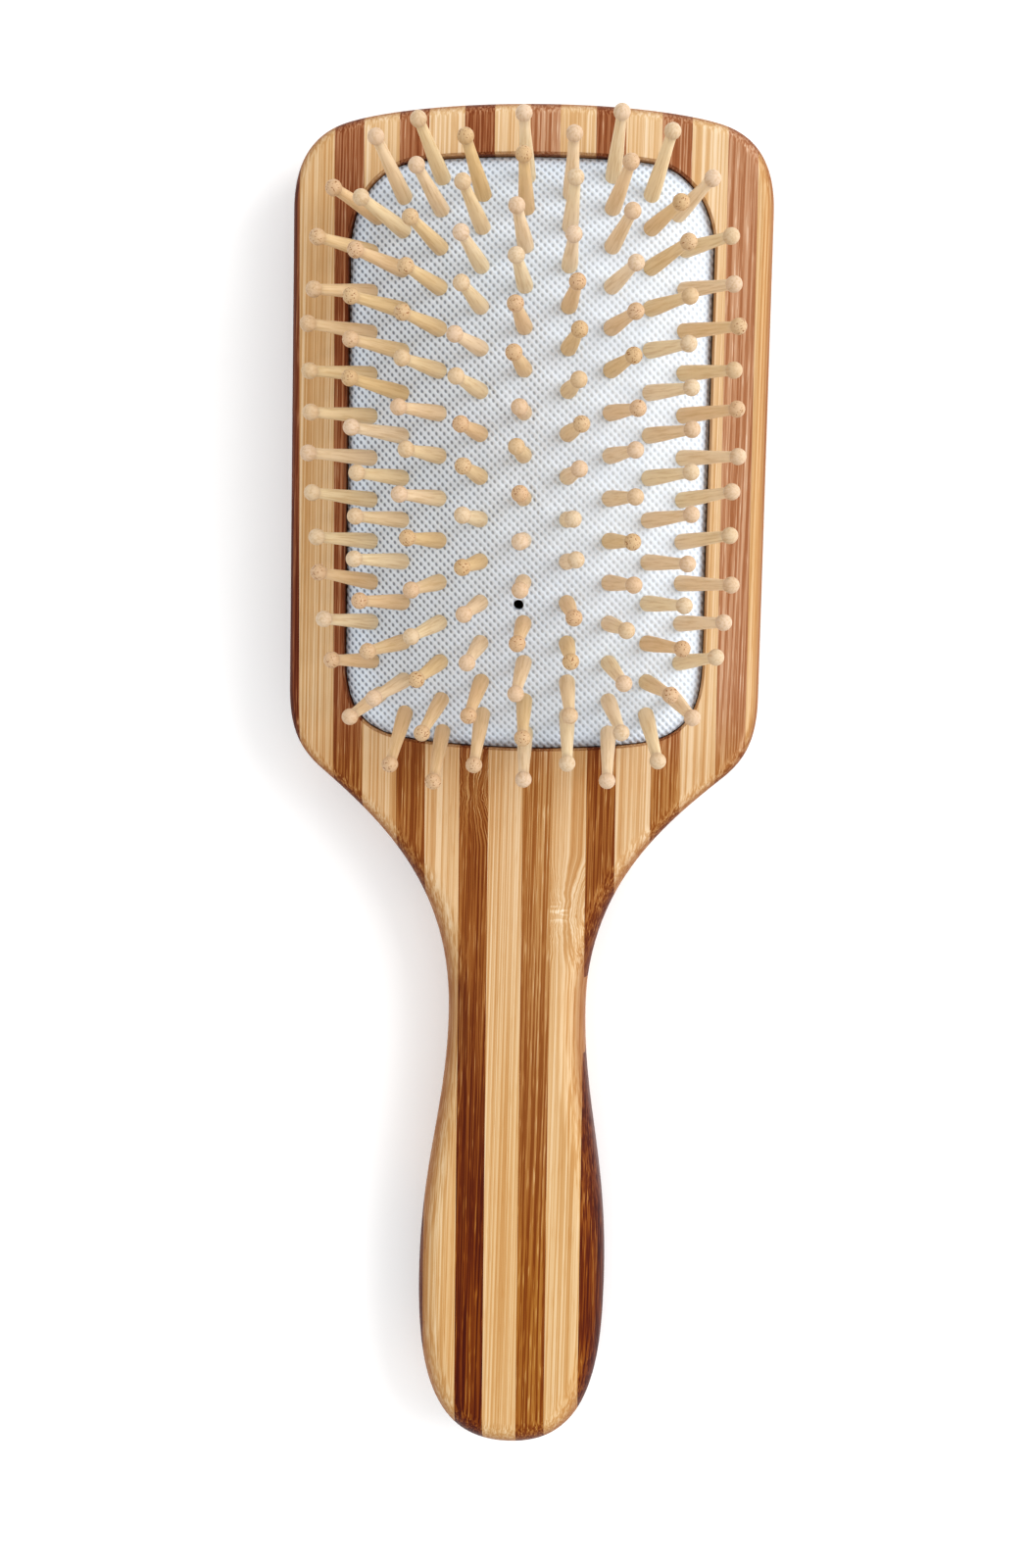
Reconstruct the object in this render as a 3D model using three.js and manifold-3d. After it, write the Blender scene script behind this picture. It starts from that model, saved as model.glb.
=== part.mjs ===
// Bamboo paddle brush: a laminated paddle, a domed air cushion and columns of ball-tipped pins.
// Millimetres. The origin is on the wood's back face, behind the centre of the cushion recess.
// +Z points out of the pins and +Y to the top of the head, so the handle runs along -Y.
// Pieces are drawn with their z counted from the wood's front face, and the group moves them up.

import * as THREE from 'three';
import { mergeVertices } from 'three/addons/utils/BufferGeometryUtils.js';
import Module from 'manifold-3d';

const wasm = await Module();
wasm.setup();

// ---- driving dimensions -------------------------------------------------------------------

// Paddle
const HEAD_TOP = 60;
const HEAD_HALF = 41.5;
const NECK_HALF = 12.35;
const NECK_Y = -99;
const GRIP_HALF = 17;
const GRIP_Y = -149;
const HANDLE_END = -179.6;
const THICKNESS = 16;
const HEAD_ROUND = 2.3;      // edge rounding of the head
const HANDLE_ROUND = 5;      // edge rounding of the neck and handle
const ROUND_FROM_Y = -52;    // the rounding starts to grow here
const ROUND_TO_Y = -90;      // and is full size here

// Laminate of bamboo strips
const LIGHT_WIDTH = 6.125;
const DARK_WIDTH = 5.125;
const STRIP_COUNT = 16;
const STRIP_ORIGIN = -39.3;    // right side of the first strip, at SKEW_Y
const STRIP_SKEW = 0.009;      // sideways run of the strips for each millimetre towards the handle
const SKEW_Y = -60;
const GLUE_LINE = 0.05;
const SPLIT_STRIPS = [5, 11];  // dark strips that the waist cuts in two
const WAIST_STRIP = 10;        // light strip that forms the right side of the waist
const WAIST_TOP = -92;
const WAIST_BOTTOM = -106;

// Recess and cushion
const RECESS_HALF = 31.6;
const RECESS_TOP = 51.2;
const RECESS_BOTTOM = -51;
const RECESS_DEPTH = 9;
const PAD_GAP = 0.3;
const PAD_THICKNESS = 1.6;
const RIM_Z = -1.8;          // top of the cushion at its rim
const DOME_HEIGHT = 10;
const DOME_HALF_X = 31.6;
const DOME_HALF_Y = 50.8;
const DOME_POWER_X = 2.25;   // fullness of the dome across the head
const DOME_POWER_Y = 3.2;    // and along it
const VENT_X = -0.45;
const VENT_Y = -25.7;
const VENT_RADIUS = 0.9;

// Pins
const COLUMN_RADIUS = 38;    // the columns are equal steps along an arc of this radius
const COLUMN_STEP = 7.5;
const ROW_RADIUS = 100;      // and so are the rows
const ROW_STEP = 7.2;
const ROWS_AT_REACH = [7, 6.5, 7, 6.5, 6];  // last row, by distance from the middle column
const END_INSET = 0.7;       // the end pins of a column sit this much closer to its middle
const CORNER_INSET = 1.2;    // and those of the outer columns this much closer sideways
const GRID_TURN = 0.9;       // degrees that the pin grid is turned on the paddle
const GRID_Y = -0.4;         // middle of the pin grid
const SPREAD_LEAN = 3;       // degrees that pins lean further to their own side than the dome asks
const FAN_LEAN = 5.8;        // the same, outwards near the top and inwards near the handle
const CORNER_DIP = 9.5;      // degrees of lean back to the middle row, near the corners
const END_SPLAYS = [0, 4, 5, 16, 8];  // extra degrees of the end pins, by distance from the middle
const PIN_SIDES = 5;
const PIN_BASE_RADIUS = 1.4;
const PIN_NECK_RADIUS = 0.92;
const BALL_RADIUS = 1.42;
const BALL_REACH = 15.5;     // cushion surface to the ball's centre
const HOLE_HALF_X = 2.1;
const HOLE_HALF_Y = 1.6;
const WEB_TOP = 2.8;         // depth of the foot web under the cushion surface
const WEB_BOTTOM = 3.8;
const WEB_HALF = 1.5;

// ---- helpers ------------------------------------------------------------------------------

const PADDLE_STEPS = 8;      // straight pieces for each curve of an outline
const PAD_STEPS = 3;

// A manifold solid from any closed three.js geometry.
function toSolid(geometry) {
  const plain = geometry.clone();
  plain.deleteAttribute('normal');
  plain.deleteAttribute('uv');
  const merged = mergeVertices(plain);
  const corners = merged.index.array;
  const triangles = [];
  for (let i = 0; i < corners.length; i += 3) {
    const [a, b, c] = corners.slice(i, i + 3);
    if (a !== b && b !== c && c !== a) {
      triangles.push(a, b, c);
    }
  }
  return new wasm.Manifold(new wasm.Mesh({
    numProp: 3,
    vertProperties: new Float32Array(merged.attributes.position.array),
    triVerts: new Uint32Array(triangles),
  }));
}

// A named mesh from a manifold solid.
function toMesh(name, solid, material) {
  const { vertProperties, triVerts } = solid.getMesh();
  const geometry = new THREE.BufferGeometry();
  geometry.setAttribute('position', new THREE.BufferAttribute(vertProperties, 3));
  geometry.setIndex(new THREE.BufferAttribute(triVerts, 1));
  geometry.computeVertexNormals();
  const mesh = new THREE.Mesh(geometry, material);
  mesh.name = name;
  return mesh;
}

// A closed solid through rings that have the same number of points.
// The first and the last ring are capped. Rings run anticlockwise seen from the first cap,
// and flatten gives their points as that cap's outline in two dimensions.
function loft(rings, flatten = (p) => new THREE.Vector2(p.x, p.y)) {
  const count = rings[0].length;
  const indices = [];
  for (let ring = 0; ring + 1 < rings.length; ring += 1) {
    for (let i = 0; i < count; i += 1) {
      const next = (i + 1) % count;
      const a = ring * count + i;
      const b = ring * count + next;
      indices.push(a, a + count, b);
      indices.push(b, a + count, b + count);
    }
  }
  const last = rings.length - 1;
  for (const [a, b, c] of THREE.ShapeUtils.triangulateShape(rings[0].map(flatten), [])) {
    indices.push(a, b, c);
  }
  for (const [a, b, c] of THREE.ShapeUtils.triangulateShape(rings[last].map(flatten), [])) {
    indices.push(last * count + a, last * count + c, last * count + b);
  }
  const geometry = new THREE.BufferGeometry().setFromPoints(rings.flat());
  geometry.setIndex(indices);
  return geometry;
}

// Both halves of an outline, anticlockwise, from its left half drawn top to bottom.
function bothHalves(leftHalf, steps) {
  const left = leftHalf.getPoints(steps);
  const right = left.slice(1, -1).reverse().map((p) => new THREE.Vector2(-p.x, p.y));
  return [...left, ...right];
}

// The outline moved inwards by a distance that may differ from point to point.
function insetOutline(outline, distanceAt) {
  const count = outline.length;
  return outline.map((point, i) => {
    const before = outline[(i + count - 1) % count];
    const after = outline[(i + 1) % count];
    const along = after.clone().sub(before).normalize();
    const inwards = new THREE.Vector2(-along.y, along.x);
    return point.clone().addScaledVector(inwards, distanceAt(point));
  });
}

// ---- paddle -------------------------------------------------------------------------------

function paddleOutline() {
  const half = new THREE.Path();
  half.moveTo(0, HEAD_TOP);
  half.bezierCurveTo(-14, HEAD_TOP, -26, 58.6, -32, 56.8);
  half.bezierCurveTo(-38, 55, -HEAD_HALF, 50.5, -HEAD_HALF, 42);
  half.lineTo(-HEAD_HALF, -41);
  half.bezierCurveTo(-HEAD_HALF, -48.5, -39.6, -52, -36, -55.2);
  half.bezierCurveTo(-25, -64.5, -NECK_HALF, -76, -NECK_HALF, NECK_Y);
  half.bezierCurveTo(-NECK_HALF, -117, -GRIP_HALF, -127, -GRIP_HALF, GRIP_Y);
  half.bezierCurveTo(-GRIP_HALF, -168, -13.5, HANDLE_END, 0, HANDLE_END);
  return bothHalves(half, PADDLE_STEPS);
}

function roundingAt(point) {
  const grown = THREE.MathUtils.smoothstep(-point.y, -ROUND_FROM_Y, -ROUND_TO_Y);
  return THREE.MathUtils.lerp(HEAD_ROUND, HANDLE_ROUND, grown);
}

// One ring of the rounded edge. The angle is 0 on a flat face and 90 degrees on the side wall.
function edgeRing(outline, angle, front) {
  const inset = insetOutline(outline, (p) => roundingAt(p) * (1 - Math.sin(angle)));
  return inset.map((point, i) => {
    const drop = roundingAt(outline[i]) * (1 - Math.cos(angle));
    return new THREE.Vector3(point.x, point.y, front ? -drop : drop - THICKNESS);
  });
}

function recessOutline(steps) {
  const half = new THREE.Path();
  half.moveTo(0, RECESS_TOP);
  half.bezierCurveTo(-8, RECESS_TOP, -17, 50.9, -21.5, 49.9);
  half.bezierCurveTo(-27, 48.5, -31.3, 43, -RECESS_HALF, 35.5);
  half.lineTo(-RECESS_HALF, -35);
  half.bezierCurveTo(-RECESS_HALF, -44.5, -28.5, -48.4, -20.5, -49.7);
  half.bezierCurveTo(-14, -50.6, -7, RECESS_BOTTOM, 0, RECESS_BOTTOM);
  return bothHalves(half, steps);
}

function paddleSolid() {
  const outline = paddleOutline();
  const angles = [0, Math.PI / 4, Math.PI / 2];
  const rings = angles.map((angle) => edgeRing(outline, angle, true));
  rings.push(...angles.toReversed().map((angle) => edgeRing(outline, angle, false)));
  const edge = recessOutline(PADDLE_STEPS);
  const recess = [1, -RECESS_DEPTH].map((z) => edge.map((p) => new THREE.Vector3(p.x, p.y, z)));
  return toSolid(loft(rings)).subtract(toSolid(loft(recess)));
}

// Left side of a strip, at the height y. Strips are counted from 1 and odd ones are dark.
function stripSide(number, y) {
  const pairs = Math.floor((number - 2) / 2);
  const light = (number % 2 === 1) ? LIGHT_WIDTH : 0;
  const start = STRIP_ORIGIN + pairs * (LIGHT_WIDTH + DARK_WIDTH) + light;
  return start + STRIP_SKEW * (SKEW_Y - y);
}

// The prism that a strip fills between two heights.
function stripPrism(number, top, bottom) {
  const outside = HEAD_HALF + 10;
  const left = (y) => ((number === 1) ? -outside : stripSide(number, y) + GLUE_LINE / 2);
  const right = (y) => ((number === STRIP_COUNT) ? outside : stripSide(number + 1, y) - GLUE_LINE / 2);
  const shape = new THREE.Shape();
  shape.moveTo(left(top), top);
  shape.lineTo(left(bottom), bottom);
  shape.lineTo(right(bottom), bottom);
  if (number === WAIST_STRIP) {
    shape.lineTo(right(WAIST_BOTTOM), WAIST_BOTTOM);
    shape.lineTo(GRIP_HALF, WAIST_BOTTOM);
    shape.lineTo(GRIP_HALF, WAIST_TOP);
    shape.lineTo(right(WAIST_TOP), WAIST_TOP);
  }
  shape.lineTo(right(top), top);
  const margin = 1;
  const prism = new THREE.ExtrudeGeometry(shape, { depth: THICKNESS + 2 * margin, bevelEnabled: false });
  prism.translate(0, 0, -THICKNESS - margin);
  return toSolid(prism);
}

// Every strip of the laminate, cut from the finished paddle.
function bambooStrips(lightWood, darkWood) {
  const paddle = paddleSolid();
  const top = HEAD_TOP + 1;
  const bottom = HANDLE_END - 1;
  const strips = [];
  for (let number = 1; number <= STRIP_COUNT; number += 1) {
    const dark = number % 2 === 1;
    const name = `bamboo_strip_${String(number).padStart(2, '0')}_${dark ? 'dark' : 'light'}`;
    const material = dark ? darkWood : lightWood;
    const split = SPLIT_STRIPS.includes(number);
    const headEnd = split ? WAIST_TOP + GLUE_LINE : bottom;
    strips.push(toMesh(name, paddle.intersect(stripPrism(number, top, headEnd)), material));
    if (split) {
      const lower = stripPrism(number, WAIST_BOTTOM - GLUE_LINE, bottom);
      strips.push(toMesh(`${name}_handle`, paddle.intersect(lower), material));
    }
  }
  return strips;
}

// ---- cushion ------------------------------------------------------------------------------

// Point on the cushion's outer surface above (x, y).
function domePoint(x, y) {
  const across = 1 - Math.min(1, Math.abs(x) / DOME_HALF_X) ** DOME_POWER_X;
  const along = 1 - Math.min(1, Math.abs(y) / DOME_HALF_Y) ** DOME_POWER_Y;
  return new THREE.Vector3(x, y, RIM_Z + DOME_HEIGHT * across * along);
}

// Frame on the dome above (x, y): X across the column, Y along it and Z out of the surface.
function domeFrame(x, y) {
  const step = 0.01;
  const across = domePoint(x + step, y).sub(domePoint(x - step, y)).normalize();
  const along = domePoint(x, y + step).sub(domePoint(x, y - step)).normalize();
  const out = across.clone().cross(along).normalize();
  along.copy(out).cross(across);
  return new THREE.Matrix4().makeBasis(across, along, out).setPosition(domePoint(x, y));
}

function cushionPad(columns, material) {
  const rim = insetOutline(recessOutline(PAD_STEPS), () => PAD_GAP);
  const scales = [0.2, 0.48, 0.72, 0.9, 1];
  const face = (scale, depth) => rim.map((p) => {
    const point = domePoint(p.x * scale, p.y * scale);
    point.z -= depth;
    return point;
  });
  const rings = scales.map((scale) => face(scale, 0));
  rings.push(...scales.toReversed().map((scale) => face(scale, PAD_THICKNESS)));
  let pad = toSolid(loft(rings));
  for (const place of columns.flat()) {
    const hole = new THREE.BoxGeometry(2 * HOLE_HALF_X, 2 * HOLE_HALF_Y, 4 * PAD_THICKNESS);
    pad = pad.subtract(toSolid(hole.applyMatrix4(pinFrame(place))));
  }
  const vent = new THREE.CylinderGeometry(VENT_RADIUS, VENT_RADIUS, 4 * PAD_THICKNESS, PIN_SIDES);
  vent.rotateX(Math.PI / 2).applyMatrix4(domeFrame(VENT_X, VENT_Y));
  return toMesh('cushion_pad', pad.subtract(toSolid(vent)), material);
}

// ---- pins ---------------------------------------------------------------------------------

// One pin: its position, and the degrees that it leans sideways and up from the dome's normal.
function pinPlace(column, row) {
  const lastRow = ROWS_AT_REACH[Math.abs(column)];
  const end = Math.abs(row) === lastRow;
  const corner = end && Math.abs(column) === ROWS_AT_REACH.length - 1;
  const gridX = COLUMN_RADIUS * Math.sin((column * COLUMN_STEP) / COLUMN_RADIUS);
  const spot = new THREE.Vector2(
    corner ? gridX - Math.sign(column) * CORNER_INSET : gridX,
    ROW_RADIUS * Math.sin((row * ROW_STEP) / ROW_RADIUS) - (end ? Math.sign(row) * END_INSET : 0),
  );
  spot.rotateAround(new THREE.Vector2(0, 0), THREE.MathUtils.degToRad(GRID_TURN));
  spot.y += GRID_Y;
  const u = spot.x / DOME_HALF_X;
  const v = spot.y / DOME_HALF_Y;
  const dip = CORNER_DIP * 4 * u * u * v * Math.abs(v) * (1 - v * v);
  const splay = end ? END_SPLAYS[Math.abs(column)] * Math.sign(row) : 0;
  return { x: spot.x, y: spot.y, sideways: u * (SPREAD_LEAN + FAN_LEAN * v), up: splay - dip };
}

// The pins, as one list for each column from left to right.
function pinColumns() {
  const reach = ROWS_AT_REACH.length - 1;
  const columns = [];
  for (let column = -reach; column <= reach; column += 1) {
    const lastRow = ROWS_AT_REACH[Math.abs(column)];
    const places = [];
    for (let row = -lastRow; row <= lastRow; row += 1) {
      places.push(pinPlace(column, row));
    }
    columns.push(places);
  }
  return columns;
}

function pinFrame({ x, y, sideways, up }) {
  const leanUp = new THREE.Matrix4().makeRotationX(-THREE.MathUtils.degToRad(up));
  const leanSideways = new THREE.Matrix4().makeRotationY(THREE.MathUtils.degToRad(sideways));
  return domeFrame(x, y).multiply(leanSideways).multiply(leanUp);
}

// A ball-tipped pin standing on the cushion, with its foot in the web under it.
function pinGeometry(place) {
  const ballSlope = BALL_RADIUS * Math.SQRT1_2;
  const profile = [
    new THREE.Vector2(0, -(WEB_TOP + WEB_BOTTOM) / 2),
    new THREE.Vector2(PIN_BASE_RADIUS, -(WEB_TOP + WEB_BOTTOM) / 2),
    new THREE.Vector2(PIN_NECK_RADIUS, BALL_REACH - ballSlope),
    new THREE.Vector2(BALL_RADIUS, BALL_REACH),
    new THREE.Vector2(ballSlope, BALL_REACH + ballSlope),
    new THREE.Vector2(0, BALL_REACH + BALL_RADIUS),
  ];
  const pin = new THREE.LatheGeometry(profile, PIN_SIDES);
  return pin.rotateX(Math.PI / 2).applyMatrix4(pinFrame(place));
}

// The flat web that holds the feet of one column, following the cushion's underside.
function webGeometry(places) {
  const corners = [
    new THREE.Vector3(-WEB_HALF, 0, -WEB_TOP),
    new THREE.Vector3(-WEB_HALF, 0, -WEB_BOTTOM),
    new THREE.Vector3(WEB_HALF, 0, -WEB_BOTTOM),
    new THREE.Vector3(WEB_HALF, 0, -WEB_TOP),
  ];
  const stations = places.slice(1).map((place, i) => ({
    x: (place.x + places[i].x) / 2,
    y: (place.y + places[i].y) / 2,
  }));
  const first = places[0];
  const last = places[places.length - 1];
  stations.unshift({ x: first.x, y: first.y - WEB_HALF });
  stations.push({ x: last.x, y: last.y + WEB_HALF });
  const rings = stations.map(({ x, y }) => {
    const frame = domeFrame(x, y);
    return corners.map((corner) => corner.clone().applyMatrix4(frame));
  });
  return loft(rings, (p) => new THREE.Vector2(p.x, p.z));
}

function pinColumn(places, number, material) {
  let column = toSolid(webGeometry(places));
  for (const place of places) {
    column = column.add(toSolid(pinGeometry(place)));
  }
  return toMesh(`pin_column_${number}`, column, material);
}

// ---- the brush ----------------------------------------------------------------------------

const lightBamboo = new THREE.MeshStandardMaterial({ color: 0xdcb884, roughness: 0.5, metalness: 0 });
const darkBamboo = new THREE.MeshStandardMaterial({ color: 0x9a5f3c, roughness: 0.5, metalness: 0 });
const paleCloth = new THREE.MeshStandardMaterial({ color: 0xdde3e8, roughness: 0.8, metalness: 0 });
const pinWood = new THREE.MeshStandardMaterial({ color: 0xe2c193, roughness: 0.55, metalness: 0 });

const brush = new THREE.Group();
const columns = pinColumns();
brush.add(...bambooStrips(lightBamboo, darkBamboo));
brush.add(cushionPad(columns, paleCloth));
columns.forEach((places, i) => brush.add(pinColumn(places, i + 1, pinWood)));
brush.position.z = THICKNESS;

export default brush;
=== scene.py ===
"""Looks of a bamboo paddle brush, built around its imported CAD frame.

Shapes are drawn in millimetres: x and y as in the frame, z counted from the wood's front face.
to_frame() puts them in the frame, in metres. The laminate, the cushion, the pins and the studio
each have their own section.
"""

import math
import random

import bpy
from mathutils import Matrix, Vector


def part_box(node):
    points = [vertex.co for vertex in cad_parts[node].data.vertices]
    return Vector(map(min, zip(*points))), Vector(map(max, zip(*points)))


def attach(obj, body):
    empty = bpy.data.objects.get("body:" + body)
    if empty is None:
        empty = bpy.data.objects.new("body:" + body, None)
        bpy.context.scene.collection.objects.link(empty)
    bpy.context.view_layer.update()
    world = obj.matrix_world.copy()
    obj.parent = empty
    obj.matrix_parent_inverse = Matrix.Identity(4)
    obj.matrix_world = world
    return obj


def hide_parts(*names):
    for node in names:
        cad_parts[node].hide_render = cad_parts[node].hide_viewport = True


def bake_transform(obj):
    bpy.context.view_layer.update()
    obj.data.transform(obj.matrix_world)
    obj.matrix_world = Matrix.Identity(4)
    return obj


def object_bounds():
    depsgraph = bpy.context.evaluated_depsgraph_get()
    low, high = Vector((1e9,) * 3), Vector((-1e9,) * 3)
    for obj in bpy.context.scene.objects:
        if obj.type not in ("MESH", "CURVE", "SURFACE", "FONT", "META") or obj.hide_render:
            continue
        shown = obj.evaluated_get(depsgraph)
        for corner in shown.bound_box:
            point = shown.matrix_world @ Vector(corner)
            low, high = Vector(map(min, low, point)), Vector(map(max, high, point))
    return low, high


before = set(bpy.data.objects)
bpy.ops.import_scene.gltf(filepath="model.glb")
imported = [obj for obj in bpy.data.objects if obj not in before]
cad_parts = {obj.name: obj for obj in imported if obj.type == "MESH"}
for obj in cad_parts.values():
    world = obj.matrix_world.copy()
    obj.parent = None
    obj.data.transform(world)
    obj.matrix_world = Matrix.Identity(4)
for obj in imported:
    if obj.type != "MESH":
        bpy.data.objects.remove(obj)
cad_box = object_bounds()

MM = 0.001
MIDDLE_STRIP = "bamboo_strip_08_light"
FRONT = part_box(MIDDLE_STRIP)[1].z       # height of the wood's front face, in metres

# Paddle. Its overall sizes come from the frame
THICKNESS = FRONT / MM
HEAD_HALF = cad_box[1].x / MM
HEAD_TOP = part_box(MIDDLE_STRIP)[1].y / MM
HANDLE_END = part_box(MIDDLE_STRIP)[0].y / MM
NECK_HALF = 12.35
NECK_Y = -99
GRIP_HALF = 17
GRIP_Y = -149
HEAD_ROUND = 2.3         # radius of the head's edges
HANDLE_ROUND = 5         # and of the handle's
ROUND_FROM_Y = -52       # the one changes to the other between these two heights
ROUND_TO_Y = -90
EDGE_STEPS = 8
EDGE_SUPPORT = 0.35      # inset of the extra ring that keeps the flat faces evenly shaded

# Laminate
LIGHT_WIDTH = 6.125
DARK_WIDTH = 5.125
STRIP_COUNT = 16
STRIP_ORIGIN = -39.3     # x of the left side of strip 2 at SKEW_Y
STRIP_SKEW = 0.009       # the strips run this much off the paddle's own direction
SKEW_Y = -60
GLUE_LINE = 0.01
SPLIT_STRIPS = (5, 11)   # these two end at the waist and start again below it
WAIST_STRIP = 10         # and this one is the outermost there, on the right
WAIST_TOP = -92
WAIST_BOTTOM = -106

# Recess and cushion
RECESS_HALF = 31.6
RECESS_TOP = 51.2
RECESS_BOTTOM = -51
RECESS_DEPTH = 9
RECESS_EASE = 0.4        # the recess is this much wider at the front face
PAD_THICKNESS = 1.6
RIM_Z = -1.8
DOME_HEIGHT = 10
DOME_HALF_X = 31.6
DOME_HALF_Y = 50.8
DOME_POWER_X = 2.25
DOME_POWER_Y = 3.2
VENT_X = -0.45
VENT_Y = -25.7
VENT_RADIUS = 0.9
SHEET_GAP = 0.15         # between the sheet and the wood around it
SHEET_RINGS = 50
RIM_ROLL = 0.4           # the sheet's edge rolls down by this much
RIM_ROLL_FROM = 0.97     # outwards of this part of its size
WEAVE_X = 1.38           # pitch of the weave across the paddle
WEAVE_Y = 1.43           # and along it
CLOTH_FRAMES = 20
CLOTH_SCALE = 20         # the sheet is settled at this many times its size
CLOTH_LIMIT = 0.3        # no point of it moves further than this
GRIP_REACH = 1.8         # points of the sheet this close to a pin are held by it
UNDERSIDE_STEP = 4       # the underside has every fourth ring of the face

# Pins. Tables go by how far a column is from the middle one
COLUMN_RADIUS = 38       # the columns are spread as on a cylinder of this radius
COLUMN_STEP = 7.5
ROW_RADIUS = 100         # and so are the rows
ROW_STEP = 7.2
ROWS_AT_REACH = (7, 6.5, 7, 6.5, 6)     # rows from the middle of a column to its end
END_INSET = 0.7          # the end pins stand this much closer to the middle
CORNER_INSET = 1.2       # and the four in the corners also this much sideways
GRID_TURN = 0.9          # degrees that the grid is turned on the paddle
GRID_Y = -0.4
SPREAD_LEAN = 3          # degrees that the outermost pins lean outwards from the sheet's normal
FAN_LEAN = 5.8           # and how many more they lean at the top, and fewer at the bottom
CORNER_DIP = 9.5         # degrees that pins near the corners lean back along their column, at most
END_SPLAYS = (0, 4, 5, 16, 8)           # degrees that the end pins splay along their column
PIN_SIDES = 20
PIN_BASE_RADIUS = 1.4
PIN_NECK_RADIUS = 0.92
BALL_RADIUS = 1.42
BALL_REACH = 15.5
SHAFT_STEPS = 9
BALL_STEPS = 9
HOLE_SHRINK = 0.15       # the sheet grips a pin with a hole that is this much smaller
LEAN_SPREAD = 1.5        # degrees that single pins lean off the common rule
STRETCH_SPREAD = 0.012   # and the part of their length by which they differ

# Studio
FLOOR_HALF = 20.0        # in metres
FLOOR_DROP = 0.2
SKY = 0.88
LAMPS = (("key", (0.8, 0.25, 0.60), 0.8, 9.0),      # name, place and width in metres, watts
         ("fill", (-0.6, -0.2, 0.6), 0.9, 0.8))
CAMERA_LENS = 44.56
CAMERA_PLACE = (19.7, -23.7, 340.6)
CAMERA_TURN = (-5.545, 3.608, 1.167)


# ---- meshes -------------------------------------------------------------------------------

def to_frame(point):
    """A point of the drawing, in millimetres from the wood's front face, in the frame's metres."""
    return Vector((point[0] * MM, point[1] * MM, FRONT + point[2] * MM))


def new_object(name, points, faces):
    mesh = bpy.data.meshes.new(name)
    mesh.from_pydata([to_frame(p) for p in points], [], faces)
    mesh.validate()
    obj = bpy.data.objects.new(name, mesh)
    bpy.context.scene.collection.objects.link(obj)
    return obj


def smooth(obj, sharp_degrees=35):
    obj.data.shade_smooth()
    obj.data.set_sharp_from_angle(angle=math.radians(sharp_degrees))


def loft(rings):
    """Points and faces of a closed solid through rings that run anticlockwise seen from the first."""
    count = len(rings[0])
    faces = [tuple(range(count))]
    for ring in range(len(rings) - 1):
        for i in range(count):
            a = ring * count + i
            b = ring * count + (i + 1) % count
            faces.append((a, a + count, b + count, b))
    last = (len(rings) - 1) * count
    faces.append(tuple(last + i for i in reversed(range(count))))
    return [point for ring in rings for point in ring], faces


def apply_modifiers(obj):
    graph = bpy.context.evaluated_depsgraph_get()
    mesh = bpy.data.meshes.new_from_object(obj.evaluated_get(graph))
    obj.modifiers.clear()
    obj.data = mesh


def boolean(obj, cutter, operation):
    modifier = obj.modifiers.new("cut", "BOOLEAN")
    modifier.operation = operation
    modifier.solver = "EXACT"
    modifier.object = cutter
    apply_modifiers(obj)


def remove(obj):
    bpy.data.objects.remove(obj)


def cylinder(radius, low, high, sides, matrix):
    """Points and faces of a cylinder that stands along the matrix's z, from low to high."""
    rings = []
    for z in (high, low):
        ring = []
        for i in range(sides):
            angle = 2 * math.pi * i / sides
            ring.append(tuple(matrix @ Vector((radius * math.cos(angle), radius * math.sin(angle), z))))
        rings.append(ring)
    return loft(rings)


def join(objects):
    """One object of the faces of several, which are removed."""
    points, faces = [], []
    for obj in objects:
        start = len(points)
        points += [tuple(v.co) for v in obj.data.vertices]
        faces += [tuple(start + i for i in p.vertices) for p in obj.data.polygons]
        remove(obj)
    mesh = bpy.data.meshes.new("joined")
    mesh.from_pydata(points, [], faces)
    joined = bpy.data.objects.new("joined", mesh)
    bpy.context.scene.collection.objects.link(joined)
    return joined


def bezier(start, pull_start, pull_end, end, steps):
    """Points of a cubic curve, without the last one."""
    points = []
    for i in range(steps):
        t = i / steps
        s = 1 - t
        weights = (s * s * s, 3 * s * s * t, 3 * s * t * t, t * t * t)
        corners = (start, pull_start, pull_end, end)
        points.append(tuple(sum(w * c[k] for w, c in zip(weights, corners)) for k in range(2)))
    return points


def straight(start, end, steps):
    return [(start[0], start[1] + (end[1] - start[1]) * i / steps) for i in range(steps)]


def both_halves(left):
    """Anticlockwise outline from its left half, drawn from the top to the bottom."""
    return left + [(-x, y) for x, y in reversed(left[1:-1])]


def inset(outline, distance_at):
    """Outline moved inwards by distance_at(y), or outwards where that is negative."""
    moved = []
    count = len(outline)
    for i, (x, y) in enumerate(outline):
        before = outline[i - 1]
        after = outline[(i + 1) % count]
        along = Vector((after[0] - before[0], after[1] - before[1])).normalized()
        distance = distance_at(y)
        moved.append((x - along.y * distance, y + along.x * distance))
    return moved


# ---- node materials -----------------------------------------------------------------------

def srgb(code):
    """Linear colour of a hex code."""
    values = [int(code[i:i + 2], 16) / 255 for i in (0, 2, 4)]
    return [v / 12.92 if v <= 0.04045 else ((v + 0.055) / 1.055) ** 2.4 for v in values] + [1.0]


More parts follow.
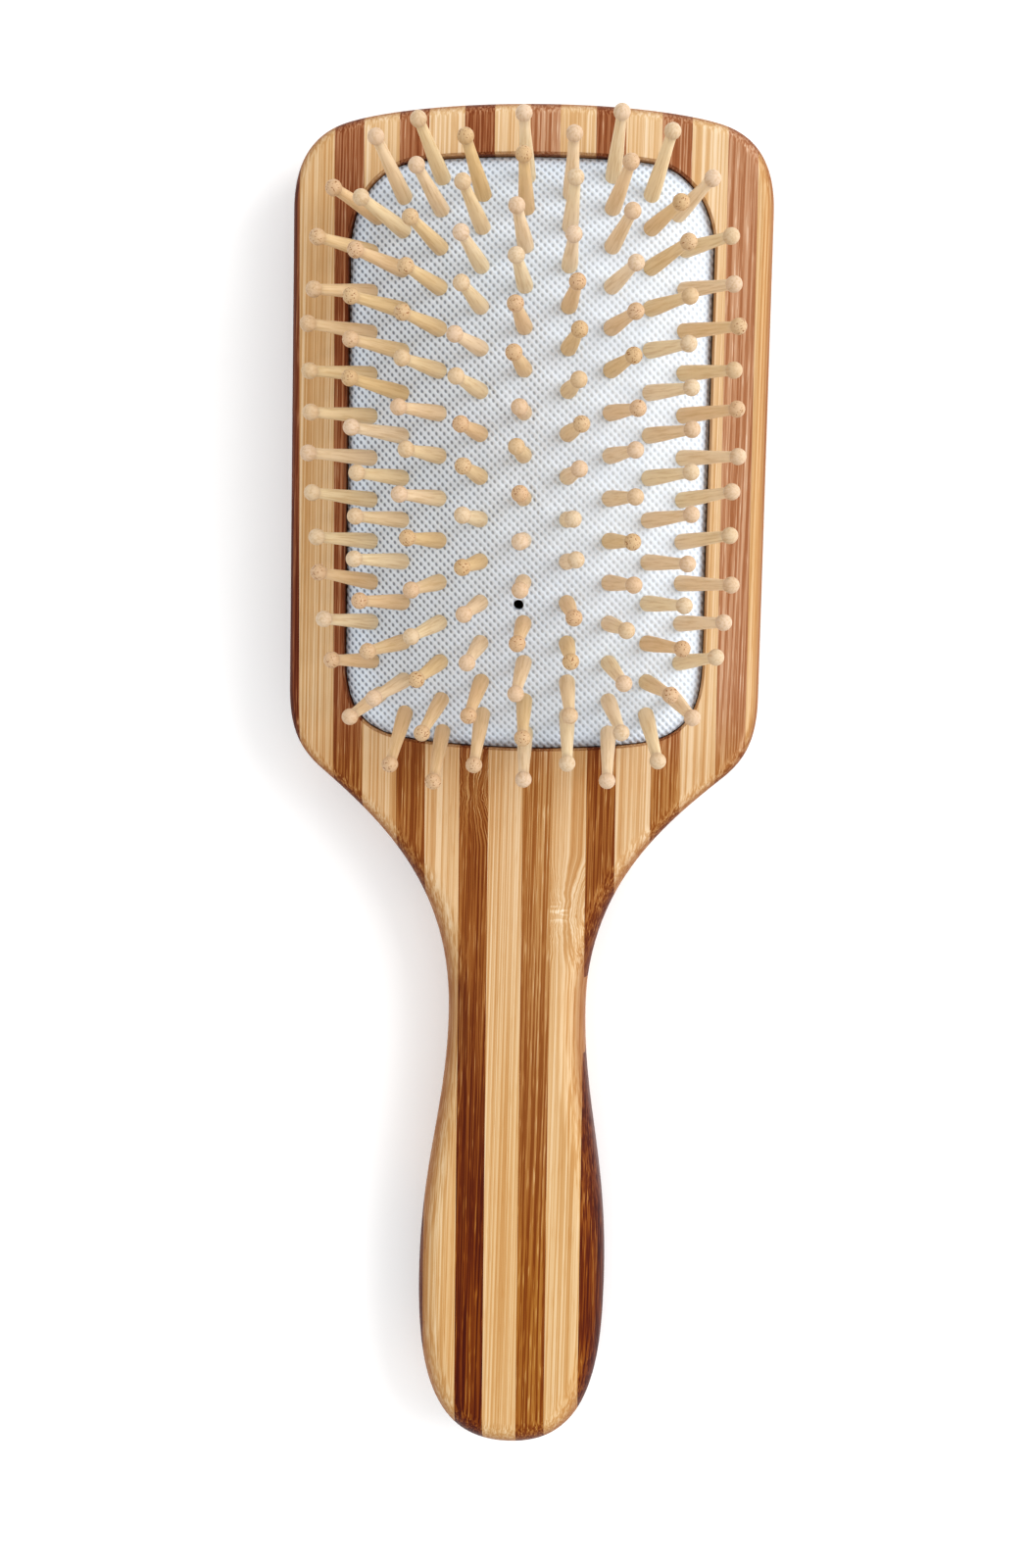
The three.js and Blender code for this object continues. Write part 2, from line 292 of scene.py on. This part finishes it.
class Painter:
    """Adds nodes to one material. An input is given as a value or as another node's output."""

    def __init__(self, name):
        self.material = bpy.data.materials.new(name)
        self.material.use_nodes = True
        self.tree = self.material.node_tree
        self.shader = self.tree.nodes["Principled BSDF"]

    def put(self, socket, value):
        if isinstance(value, bpy.types.NodeSocket):
            self.tree.links.new(value, socket)
        else:
            socket.default_value = value

    def node(self, kind, inputs, output=0, **settings):
        made = self.tree.nodes.new("ShaderNode" + kind)
        for key, value in settings.items():
            setattr(made, key, value)
        for key, value in inputs.items():
            self.put(made.inputs[key], value)
        return made.outputs[output]

    def math(self, operation, a, b=0.0, c=0.0):
        return self.node("Math", {0: a, 1: b, 2: c}, operation=operation)

    def place(self):
        return self.node("TexCoord", {}, output="Object")

    def scaled(self, vector, scale, turn=0.0):
        """vector with each coordinate times its scale, turned about z."""
        inputs = {"Vector": vector, "Scale": scale, "Rotation": (0, 0, turn)}
        return self.node("Mapping", inputs)

    def noise(self, vector, detail=2.0, roughness=0.5):
        inputs = {"Vector": vector, "Scale": 1.0, "Detail": detail, "Roughness": roughness}
        return self.node("TexNoise", inputs)

    def ramp(self, value, low, high, to_low=0.0, to_high=1.0):
        """value, stretched from low..high to to_low..to_high and kept in that range."""
        inputs = {0: value, 1: low, 2: high, 3: to_low, 4: to_high}
        return self.node("MapRange", inputs, interpolation_type="SMOOTHSTEP")

    def mix(self, factor, a, b, blend="MIX"):
        made = self.tree.nodes.new("ShaderNodeMix")
        made.data_type = "RGBA"
        made.blend_type = blend
        self.put(made.inputs["Factor"], factor)
        self.put(made.inputs[6], a)
        self.put(made.inputs[7], b)
        return made.outputs[2]

    def finish(self, colour, roughness, height=None, bump=0.2, depth=0.0001, **others):
        self.put(self.shader.inputs["Base Color"], colour)
        self.put(self.shader.inputs["Roughness"], roughness)
        for key, value in others.items():
            self.put(self.shader.inputs[key.replace("_", " ")], value)
        if height is not None:
            inputs = {"Strength": bump, "Distance": depth, "Height": height}
            self.put(self.shader.inputs["Normal"], self.node("Bump", inputs))
        return self.material


# ---- laminated bamboo ---------------------------------------------------------------------

# Colour of a strip of depth 1 in the head, at the shoulders and in the handle
DARK_COLOURS = ("925A38", "8A501F", "6B2D03")
LIGHT_COLOURS = ("D1AF84", "C59C6D", "CBA26E")
HEAD_FROM = -38
SHOULDER = -58
HANDLE_FROM = -150

# A colour is raised to a power: the depth of its strip, less where the streaks are bright
STRIP_DEPTHS = {1: 1.45, 3: 1.05, 5: 1.0, 7: 1.13, 9: 0.76, 11: 1.1, 13: 0.87, 15: 0.71,
                2: 1.15, 4: 1.0, 6: 0.98, 8: 0.98, 10: 1.02, 12: 0.9, 14: 1.0, 16: 1.35}
MEAN_STREAK = 0.47
LEAST_POWER = 0.2
FIBRE = 0.33             # width of the fine streaks
STREAK = 1.2             # and of the broad ones
# Contrast of the streaks, length of the fine ones, and what each kind adds to the brightness
DARK = {"contrast": 0.75, "fine_length": 40, "fine": 0.7, "broad": 0.15, "short": 0.35,
        "bars": 0.0, "joint": 0.3}
LIGHT = {"contrast": 0.8, "fine_length": 130, "fine": 0.6, "broad": 0.3, "short": -0.15,
         "bars": 0.45, "joint": 0.1}

STRIP_JOINTS = {7: -58, 10: -80}      # y of the bamboo's own joints
JOINT_REACH = 11                      # from a joint to where the fibres run straight again
JOINT_WANDER = 3.6


def mean_colour(paint, y, colours):
    """Colour that changes from the head to the shoulders and on to the handle."""
    head, shoulder, handle = [srgb(code) for code in colours]
    upper = paint.ramp(y, SHOULDER * MM, HEAD_FROM * MM)
    lower = paint.ramp(y, SHOULDER * MM, HANDLE_FROM * MM)
    return paint.mix(lower, paint.mix(upper, shoulder, head), handle)


def bend_at_joint(paint, place, y, number):
    """Fibres drawn together and made wavy at a bamboo joint, and the pale bars that cross it."""
    away = paint.math("ABSOLUTE", paint.math("SUBTRACT", y, STRIP_JOINTS[number] * MM))
    near = paint.ramp(away, 0.0, JOINT_REACH * MM, 1.0, 0.0)
    wander = paint.noise(paint.scaled(place, (500, 260, 500)), detail=3.0)
    shift = paint.math("MULTIPLY", paint.math("SUBTRACT", wander, 0.5), JOINT_WANDER * MM)
    x = paint.node("SeparateXYZ", {0: place}, output=0)
    middle = (strip_side(number, STRIP_JOINTS[number]) + LIGHT_WIDTH / 3) * MM
    from_middle = paint.math("SUBTRACT", x, middle)
    shift = paint.math("ADD", shift, from_middle)
    push = paint.node("CombineXYZ", {0: paint.math("MULTIPLY", shift, near)})
    bent = paint.node("VectorMath", {0: place, 1: push}, operation="ADD")
    bars = paint.ramp(paint.noise(paint.scaled(place, (300, 1600, 300)), detail=0.0), 0.45, 0.65)
    beside = paint.math("ABSOLUTE", from_middle)
    on_bars = paint.math("MULTIPLY", paint.ramp(away, 1.0 * MM, 2.2 * MM, 1.0, 0.0),
                         paint.ramp(beside, 1.2 * MM, 2.4 * MM, 1.0, 0.0))
    return bent, paint.math("MULTIPLY", bars, on_bars), near


def fibres(paint, place, width, length, detail=2.0):
    """Noise drawn out along the strip, in streaks of about this width and length."""
    scale = (1 / (width * MM), 1 / (length * MM), 1 / (width * MM))
    return paint.noise(paint.scaled(place, scale), detail=detail, roughness=0.6)


def streaks(paint, place, kind, bars, near_joint):
    """Brightness of all streaks together, and the fine streaks alone."""
    fine = paint.ramp(fibres(paint, place, FIBRE, kind["fine_length"]), 0.4, 0.6)
    broad = paint.ramp(fibres(paint, place, STREAK, 240), 0.38, 0.62)
    short = paint.ramp(fibres(paint, place, 0.25, 6, 1.0), 0.56, 0.68)
    total = paint.math("MULTIPLY", fine, kind["fine"])
    total = paint.math("MULTIPLY_ADD", broad, kind["broad"], total)
    total = paint.math("MULTIPLY_ADD", short, kind["short"], total)
    total = paint.math("MULTIPLY_ADD", bars, kind["bars"], total)
    return paint.math("MULTIPLY_ADD", near_joint, kind["joint"], total), fine


def bamboo_material(number, name):
    dark = number % 2 == 1
    kind = DARK if dark else LIGHT
    paint = Painter(name)
    y = paint.node("SeparateXYZ", {0: paint.place()}, output=1)
    place = paint.scaled(paint.place(), (1, 1, 1), math.atan(STRIP_SKEW))
    bars = 0.0
    near_joint = 0.0
    if number in STRIP_JOINTS:
        place, bars, near_joint = bend_at_joint(paint, place, y, number)
    seed = number * 0.37        # so that each strip has a grain of its own
    place = paint.node("VectorMath", {0: place, 1: (seed, seed, seed)}, operation="ADD")

    streak, fine = streaks(paint, place, kind, bars, near_joint)
    depth = STRIP_DEPTHS[number]
    brighter = paint.math("SUBTRACT", streak, MEAN_STREAK)
    power = paint.math("MULTIPLY_ADD", brighter, -kind["contrast"] * depth, depth)
    mean = mean_colour(paint, y, DARK_COLOURS if dark else LIGHT_COLOURS)
    colour = paint.node("Gamma", {"Color": mean, "Gamma": paint.math("MAXIMUM", power, LEAST_POWER)})

    # Painted shade: the rounded edges and side walls, which turn away from the front face, are darkened
    # in colour
    up = paint.node("SeparateXYZ", {0: paint.node("NewGeometry", {}, output="Normal")}, output=2)
    painted_edge_shade = paint.ramp(paint.math("ABSOLUTE", up), 0.5, 0.985, 0.8, 0.0)
    colour = paint.mix(painted_edge_shade, colour, srgb("A8773F"), blend="MULTIPLY")
    roughness = paint.ramp(fine, 0.0, 1.0, 0.5, 0.4)
    relief = {"bump": 0.15, "depth": 0.04 * MM}
    return paint.finish(colour, roughness, fine, **relief, Specular_IOR_Level=0.08)


def paddle_outline(steps=28):
    half = bezier((0, HEAD_TOP), (-14, HEAD_TOP), (-26, 58.6), (-32, 56.8), steps)
    half += bezier((-32, 56.8), (-38, 55), (-HEAD_HALF, 50.5), (-HEAD_HALF, 42), steps)
    half += straight((-HEAD_HALF, 42), (-HEAD_HALF, -41), steps)
    half += bezier((-HEAD_HALF, -41), (-HEAD_HALF, -48.5), (-39.6, -52), (-36, -55.2), steps)
    half += bezier((-36, -55.2), (-25, -64.5), (-NECK_HALF, -76), (-NECK_HALF, NECK_Y), steps)
    neck = (-NECK_HALF, NECK_Y)
    grip = (-GRIP_HALF, GRIP_Y)
    half += bezier(neck, (-NECK_HALF, -117), (-GRIP_HALF, -127), grip, steps)
    half += bezier(grip, (-GRIP_HALF, -168), (-13.5, HANDLE_END), (0, HANDLE_END), steps)
    return both_halves(half + [(0, HANDLE_END)])


def recess_outline(steps=28):
    half = bezier((0, RECESS_TOP), (-8, RECESS_TOP), (-17, 50.9), (-21.5, 49.9), steps)
    half += bezier((-21.5, 49.9), (-27, 48.5), (-31.3, 43), (-RECESS_HALF, 35.5), steps)
    half += straight((-RECESS_HALF, 35.5), (-RECESS_HALF, -35), 2 * steps)
    half += bezier((-RECESS_HALF, -35), (-RECESS_HALF, -44.5), (-28.5, -48.4), (-20.5, -49.7), steps)
    half += bezier((-20.5, -49.7), (-14, -50.6), (-7, RECESS_BOTTOM), (0, RECESS_BOTTOM), steps)
    return both_halves(half + [(0, RECESS_BOTTOM)])


def rounding_at(y):
    """Radius of the rounded edge at this height."""
    t = min(1, max(0, (y - ROUND_FROM_Y) / (ROUND_TO_Y - ROUND_FROM_Y)))
    return HEAD_ROUND + (HANDLE_ROUND - HEAD_ROUND) * t * t * (3 - 2 * t)


def edge_ring(outline, degrees, front, extra=0.0):
    """One ring of the rounded edge: 0 degrees on a flat face and 90 on the side wall."""
    angle = math.radians(degrees)
    ring = inset(outline, lambda y: extra + rounding_at(y) * (1 - math.sin(angle)))
    drops = [rounding_at(y) * (1 - math.cos(angle)) for _, y in outline]
    return [(x, y, -drop if front else drop - THICKNESS) for (x, y), drop in zip(ring, drops)]


def paddle_blank():
    outline = paddle_outline()
    angles = [90 * i / EDGE_STEPS for i in range(EDGE_STEPS + 1)]
    rings = [edge_ring(outline, 0, True, EDGE_SUPPORT)]
    rings += [edge_ring(outline, a, True) for a in angles]
    rings += [edge_ring(outline, a, False) for a in reversed(angles)]
    rings.append(edge_ring(outline, 0, False, EDGE_SUPPORT))
    blank = new_object("blank", *loft(rings))
    recess = recess_outline()
    wide = inset(recess, lambda y: -RECESS_EASE - 1)
    eased = [[(x, y, 1) for x, y in wide], [(x, y, -RECESS_EASE) for x, y in recess],
             [(x, y, -RECESS_DEPTH) for x, y in recess]]
    cutter = new_object("recess", *loft(eased))
    boolean(blank, cutter, "DIFFERENCE")
    remove(cutter)
    return blank


def strip_side(number, y):
    """x of a strip's left side."""
    pairs = (number - 2) // 2
    light = LIGHT_WIDTH if number % 2 == 1 else 0
    return STRIP_ORIGIN + pairs * (LIGHT_WIDTH + DARK_WIDTH) + light + STRIP_SKEW * (SKEW_Y - y)


def strip_prism(number, top, bottom):
    outside = HEAD_HALF + 10

    def left(y):
        return -outside if number == 1 else strip_side(number, y) + GLUE_LINE / 2

    def right(y):
        return outside if number == STRIP_COUNT else strip_side(number + 1, y) - GLUE_LINE / 2

    shape = [(left(top), top), (left(bottom), bottom), (right(bottom), bottom)]
    if number == WAIST_STRIP:
        shape += [(right(WAIST_BOTTOM), WAIST_BOTTOM), (GRIP_HALF, WAIST_BOTTOM),
                  (GRIP_HALF, WAIST_TOP), (right(WAIST_TOP), WAIST_TOP)]
    shape.append((right(top), top))
    rings = [[(x, y, z) for x, y in shape] for z in (1, -THICKNESS - 1)]
    return new_object("prism", *loft(rings))


def bamboo_strip(blank, name, number, top, bottom):
    strip = bpy.data.objects.new(name + "_board", blank.data.copy())
    bpy.context.scene.collection.objects.link(strip)
    prism = strip_prism(number, top, bottom)
    boolean(strip, prism, "INTERSECT")
    remove(prism)
    smooth(strip)
    strip.data.materials.clear()
    strip.data.materials.append(bamboo_material(number, name))
    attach(strip, "paddle")
    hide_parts(name)


def build_laminate():
    blank = paddle_blank()
    top = HEAD_TOP + 1
    bottom = HANDLE_END - 1
    for number in range(1, STRIP_COUNT + 1):
        kind = "dark" if number % 2 == 1 else "light"
        name = f"bamboo_strip_{number:02d}_{kind}"
        split = number in SPLIT_STRIPS
        bamboo_strip(blank, name, number, top, WAIST_TOP if split else bottom)
        if split:
            bamboo_strip(blank, name + "_handle", number, WAIST_BOTTOM, bottom)
    remove(blank)


# ---- cushion ------------------------------------------------------------------------------

def dome_z(x, y):
    across = 1 - min(1, abs(x) / DOME_HALF_X) ** DOME_POWER_X
    along = 1 - min(1, abs(y) / DOME_HALF_Y) ** DOME_POWER_Y
    return RIM_Z + DOME_HEIGHT * across * along


def dome_frame(x, y):
    """Matrix with z out of the dome, x across the column and y along it, at the dome's surface."""
    step = 0.01
    across = Vector((2 * step, 0, dome_z(x + step, y) - dome_z(x - step, y))).normalized()
    along = Vector((0, 2 * step, dome_z(x, y + step) - dome_z(x, y - step))).normalized()
    out = across.cross(along).normalized()
    along = out.cross(across)
    turned = Matrix((across, along, out)).transposed().to_4x4()
    return Matrix.Translation((x, y, dome_z(x, y))) @ turned


def cushion_material():
    """White sheet with a woven face: small pits in a lattice, in rows that are half a pitch apart."""
    paint = Painter("cushion_face")
    place = paint.place()
    wander = paint.noise(paint.scaled(place, (500, 500, 500)), detail=1.0)
    drift = paint.math("MULTIPLY", paint.math("SUBTRACT", wander, 0.5), 0.5)
    turned = paint.scaled(place, (1, 1, 1), math.radians(GRID_TURN))
    x = paint.node("SeparateXYZ", {0: turned}, output=0)
    y = paint.node("SeparateXYZ", {0: turned}, output=1)
    turn_x = paint.math("MULTIPLY_ADD", x, 2 * math.pi / (WEAVE_X * MM), drift)
    turn_y = paint.math("MULTIPLY_ADD", y, 2 * math.pi / (WEAVE_Y * MM), drift)
    upright = paint.math("MULTIPLY", paint.math("COSINE", turn_x), paint.math("COSINE", turn_y))
    slanted = paint.math("MULTIPLY", paint.math("SINE", turn_x), paint.math("SINE", turn_y))
    narrowed = paint.math("COSINE", paint.math("MULTIPLY", turn_x, 2))
    weave = paint.math("MULTIPLY_ADD", slanted, -0.35, upright)
    weave = paint.math("MULTIPLY_ADD", narrowed, 0.2, weave)
    painted_pit_shade = paint.ramp(weave, -0.15, 1.1)

    # Painted shade: the pits are darkened in colour as shade in the weave's hollows, and darker still
    # where the sheet faces away from the key light, which is on the right
    facing = paint.node("SeparateXYZ", {0: paint.node("NewGeometry", {}, output="Normal")}, output=0)
    shadow = paint.ramp(facing, -0.45, 0.35, 0.86, 0.31)
    shade = paint.noise(paint.scaled(place, (60, 60, 60)), detail=2.0)
    white = paint.mix(shade, srgb("EAF4FF"), srgb("DDEAF9"))
    colour = paint.mix(paint.math("MULTIPLY", painted_pit_shade, shadow), white, srgb("5E6676"))
    height = paint.math("MULTIPLY", weave, -0.5)
    return paint.finish(colour, 0.7, height, bump=0.8, depth=0.3 * MM, Specular_IOR_Level=0.3)


def settle_sheet(points, faces, held):
    """Points of the cushion's sheet after the air behind it has pushed it out between the pins."""
    mesh = bpy.data.meshes.new("sheet")
    mesh.from_pydata([Vector(p) * MM * CLOTH_SCALE for p in points], [], faces)
    sheet = bpy.data.objects.new("sheet", mesh)
    bpy.context.scene.collection.objects.link(sheet)
    sheet.vertex_groups.new(name="held").add(held, 1.0, "REPLACE")
    cloth = sheet.modifiers.new("cloth", "CLOTH")
    cloth.settings.vertex_group_mass = "held"
    cloth.settings.mass = 0.1
    cloth.settings.tension_stiffness = 10
    cloth.settings.bending_stiffness = 0.5
    cloth.settings.use_pressure = True
    cloth.settings.uniform_pressure_force = 4
    cloth.settings.effector_weights.gravity = 0
    cloth.point_cache.frame_end = CLOTH_FRAMES
    for step in range(1, CLOTH_FRAMES + 1):
        bpy.context.scene.frame_set(step)
    graph = bpy.context.evaluated_depsgraph_get()
    settled = [v.co / (CLOTH_SCALE * MM) for v in sheet.evaluated_get(graph).data.vertices]
    bpy.context.scene.frame_set(1)
    remove(sheet)
    moved = []
    for before, after in zip(points, settled):
        shift = after - Vector(before)
        if shift.length > CLOTH_LIMIT:
            shift = shift.normalized() * CLOTH_LIMIT
        moved.append(tuple(Vector(before) + shift))
    return moved


def held_points(points, first_of_rim, places):
    """Numbers of the sheet's points that can't move: its two outermost rings and those at a pin."""
    pins = [Vector(place[:2]) for place in places]
    held = []
    for number, point in enumerate(points):
        to_pin = min((Vector(point[:2]) - pin).length for pin in pins)
        if number >= first_of_rim or to_pin < GRIP_REACH:
            held.append(number)
    return held


def build_cushion(places):
    rim = inset(recess_outline(16), lambda y: SHEET_GAP)
    count = len(rim)
    scales = [math.sin(math.pi / 2 * (i + 1) / SHEET_RINGS) for i in range(SHEET_RINGS)]
    top = []
    for s in scales:
        rolled = max(0, (s - RIM_ROLL_FROM) / (1 - RIM_ROLL_FROM))
        top.append([(x * s, y * s, dome_z(x * s, y * s) - RIM_ROLL * rolled ** 2) for x, y in rim])
    points, faces = loft(top)
    points = settle_sheet(points, faces[:-1], held_points(points, len(points) - 2 * count, places))
    top = [points[i:i + count] for i in range(0, len(points), count)]
    rings = reversed(top[::UNDERSIDE_STEP] + [top[-1]])
    under = [[(x, y, z - PAD_THICKNESS) for x, y, z in ring] for ring in rings]
    pad = new_object("cushion_sheet", *loft(top + under))
    cutters = []
    for place in places:
        hole = cylinder(PIN_BASE_RADIUS - HOLE_SHRINK, -5, 2, 16, pin_frame(place))
        cutters.append(new_object("hole", *hole))
    vent = cylinder(VENT_RADIUS, -5, 2, 24, dome_frame(VENT_X, VENT_Y))
    cutters.append(new_object("hole", *vent))
    cutter = join(cutters)
    boolean(pad, cutter, "DIFFERENCE")
    remove(cutter)
    smooth(pad, 50)
    pad.data.materials.clear()
    pad.data.materials.append(cushion_material())
    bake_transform(pad)
    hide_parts("cushion_pad")


# ---- pins ---------------------------------------------------------------------------------

def pin_place(column, row):
    """Position of one pin, and the degrees it leans sideways and up from the sheet's normal."""
    end = abs(row) == ROWS_AT_REACH[abs(column)]
    grid_x = COLUMN_RADIUS * math.sin(column * COLUMN_STEP / COLUMN_RADIUS)
    grid_y = ROW_RADIUS * math.sin(row * ROW_STEP / ROW_RADIUS)
    up = 0
    if end:
        grid_y -= math.copysign(END_INSET, row)
        up = math.copysign(END_SPLAYS[abs(column)], row)
        if abs(column) == len(ROWS_AT_REACH) - 1:
            grid_x -= math.copysign(CORNER_INSET, column)
    spot = Matrix.Rotation(math.radians(GRID_TURN), 2) @ Vector((grid_x, grid_y))
    spot.y += GRID_Y
    u = spot.x / DOME_HALF_X
    v = spot.y / DOME_HALF_Y
    up -= CORNER_DIP * 4 * u * u * v * abs(v) * (1 - v * v)
    return spot.x, spot.y, u * (SPREAD_LEAN + FAN_LEAN * v), up


def pin_columns():
    reach = len(ROWS_AT_REACH) - 1
    columns = []
    for column in range(-reach, reach + 1):
        last_row = ROWS_AT_REACH[abs(column)]
        rows = [i - last_row for i in range(int(2 * last_row) + 1)]
        columns.append([pin_place(column, row) for row in rows])
    return columns


def pin_frame(place):
    """Matrix of one pin: z runs along it, from the sheet's surface outwards."""
    x, y, sideways, up = place
    lean_sideways = Matrix.Rotation(math.radians(sideways), 4, "Y")
    return dome_frame(x, y) @ lean_sideways @ Matrix.Rotation(-math.radians(up), 4, "X")


def pin_profile():
    """Radius and height along a pin, from its foot behind the cushion to the tip of its ball."""
    foot = [(0.0, -3.3), (1.3, -3.3), (1.6, -3.1), (1.6, -2.5), (1.3, -2.3), (1.25, -2.0)]
    neck_z = BALL_REACH - math.sqrt(BALL_RADIUS ** 2 - PIN_NECK_RADIUS ** 2)
    shaft = []
    for i in range(SHAFT_STEPS + 1):
        t = i / SHAFT_STEPS
        taper = t * t * (3 - 2 * t)
        radius = PIN_BASE_RADIUS * (1 - taper) + PIN_NECK_RADIUS * taper
        shaft.append((radius, neck_z * t))
    start = math.asin(PIN_NECK_RADIUS / BALL_RADIUS)
    ball = []
    for i in range(1, BALL_STEPS + 1):
        angle = start + (math.pi - start) * i / BALL_STEPS
        ball.append((BALL_RADIUS * math.sin(angle), BALL_REACH - BALL_RADIUS * math.cos(angle)))
    ball[-1] = (0.0, BALL_REACH + BALL_RADIUS)
    return foot + shaft + ball


def pin_material():
    paint = Painter("pin_wood")
    local = paint.node("Attribute", {}, output="Vector", attribute_name="pin_space")
    tone = paint.node("Attribute", {}, output="Fac", attribute_name="pin_tone")
    grain = paint.noise(paint.scaled(local, (2.6, 0.12, 2.6)), detail=3.0, roughness=0.6)
    grain_dark = paint.ramp(grain, 0.42, 0.7)
    warmth = paint.ramp(paint.noise(paint.scaled(local, (0.02, 0.02, 0.02)), detail=0.0), 0.4, 0.6)
    pale = paint.mix(warmth, srgb("E8D6B2"), srgb("EAD5B6"))
    deep = paint.mix(warmth, srgb("DBBD8B"), srgb("DDBC90"))
    bright = paint.mix(tone, pale, deep)
    colour = paint.mix(paint.math("MULTIPLY", grain_dark, 0.5), bright, srgb("C19D67"))
    speck = paint.noise(paint.scaled(local, (4.2, 1.0, 4.2)), detail=0.0)
    specks = paint.ramp(speck, 0.66, 0.72)
    length = paint.node("Attribute", {}, output="Fac", attribute_name="pin_length")
    on_ball = paint.ramp(length, BALL_REACH, BALL_REACH + 0.7)
    # Painted shade: the ball and the neck under it are darker in colour, against the extra light that
    # falls on the ball's upturned face
    painted_ball_shade = paint.ramp(length, BALL_REACH - 1.6, BALL_REACH)
    colour = paint.mix(painted_ball_shade, colour, srgb("E3DBDB"), blend="MULTIPLY")
    amount = paint.math("MULTIPLY", paint.math("MULTIPLY", specks, on_ball), paint.ramp(tone, 0.6, 0.75))
    colour = paint.mix(amount, colour, srgb("8A5A30"))
    return paint.finish(colour, 0.55, grain, bump=0.08, depth=0.05 * MM, Specular_IOR_Level=0.3)


def build_pins(columns):
    draw = random.Random(7)
    profile = pin_profile()
    material = pin_material()
    for number, places in enumerate(columns, 1):
        points, faces, local, tones, lengths = [], [], [], [], []
        for place in places:
            lean = Matrix.Rotation(math.radians(draw.gauss(0, LEAN_SPREAD)), 4, "X")
            lean = lean @ Matrix.Rotation(math.radians(draw.gauss(0, LEAN_SPREAD)), 4, "Y")
            stretch = 1 + draw.gauss(0, STRETCH_SPREAD)
            offset = Vector((draw.uniform(-50, 50), draw.uniform(-50, 50), draw.uniform(-50, 50)))
            tone = draw.random()
            matrix = pin_frame(place) @ lean
            first = len(points)
            for radius, z in profile:
                sides = 1 if radius == 0 else PIN_SIDES
                for i in range(sides):
                    angle = 2 * math.pi * i / PIN_SIDES
                    spot = Vector((radius * math.cos(angle), radius * math.sin(angle), z))
                    points.append(tuple(matrix @ Vector((spot.x, spot.y, z * stretch))))
                    local.append((spot.x + offset.x, z + offset.z, spot.y + offset.y))
                    tones.append(tone)
                    lengths.append(z)
            faces += lathe_faces(first, len(profile))
        column = new_object(f"pins_of_column_{number}", points, faces)
        space = column.data.attributes.new("pin_space", "FLOAT_VECTOR", "POINT")
        space.data.foreach_set("vector", [value for spot in local for value in spot])
        column.data.attributes.new("pin_tone", "FLOAT", "POINT").data.foreach_set("value", tones)
        column.data.attributes.new("pin_length", "FLOAT", "POINT").data.foreach_set("value", lengths)
        smooth(column, 60)
        column.data.materials.append(material)
        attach(column, f"pins_{number}")
        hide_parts(f"pin_column_{number}")


def lathe_faces(first, levels):
    """Faces of one turned pin whose first and last levels are single points."""
    faces = []
    tip = first + 1 + (levels - 2) * PIN_SIDES
    for i in range(PIN_SIDES):
        after = (i + 1) % PIN_SIDES
        faces.append((first, first + 1 + after, first + 1 + i))
        for level in range(levels - 3):
            a = first + 1 + level * PIN_SIDES
            faces.append((a + i, a + after, a + PIN_SIDES + after, a + PIN_SIDES + i))
        a = first + 1 + (levels - 3) * PIN_SIDES
        faces.append((a + i, a + after, tip))
    return faces


# ---- studio -------------------------------------------------------------------------------

def build_floor():
    corners = ((-1, -1), (1, -1), (1, 1), (-1, 1))
    mesh = bpy.data.meshes.new("floor")
    points = [(x * FLOOR_HALF, y * FLOOR_HALF, -FLOOR_DROP * MM) for x, y in corners]
    mesh.from_pydata(points, [], [(0, 1, 2, 3)])
    floor = bpy.data.objects.new("floor", mesh)
    bpy.context.scene.collection.objects.link(floor)
    glow = {"Emission_Color": srgb("FFFFFF"), "Emission_Strength": 0.12}
    mesh.materials.append(Painter("floor").finish(srgb("FBFBFB"), 0.9, **glow))


def build_lights():
    world = bpy.data.worlds.new("studio")
    bpy.context.scene.world = world
    world.use_nodes = True
    sky = world.node_tree.nodes["Background"]
    sky.inputs["Color"].default_value = (1, 1, 1, 1)
    sky.inputs["Strength"].default_value = SKY
    for name, place, width, power in LAMPS:
        light = bpy.data.lights.new(name, "AREA")
        light.size = width
        light.energy = power
        lamp = bpy.data.objects.new(name, light)
        lamp.location = place
        lamp.rotation_euler = (-Vector(place)).to_track_quat("-Z", "Y").to_euler()
        bpy.context.scene.collection.objects.link(lamp)


def build_camera():
    data = bpy.data.cameras.new("camera")
    data.lens = CAMERA_LENS
    data.clip_start = 0.01
    camera = bpy.data.objects.new("camera", data)
    camera.location = to_frame(CAMERA_PLACE)
    camera.rotation_euler = [math.radians(angle) for angle in CAMERA_TURN]
    bpy.context.scene.collection.objects.link(camera)
    bpy.context.scene.camera = camera
    bpy.context.scene.view_settings.view_transform = "Standard"


build_laminate()
columns = pin_columns()
build_cushion([place for places in columns for place in places])
build_pins(columns)
build_floor()
build_lights()
build_camera()
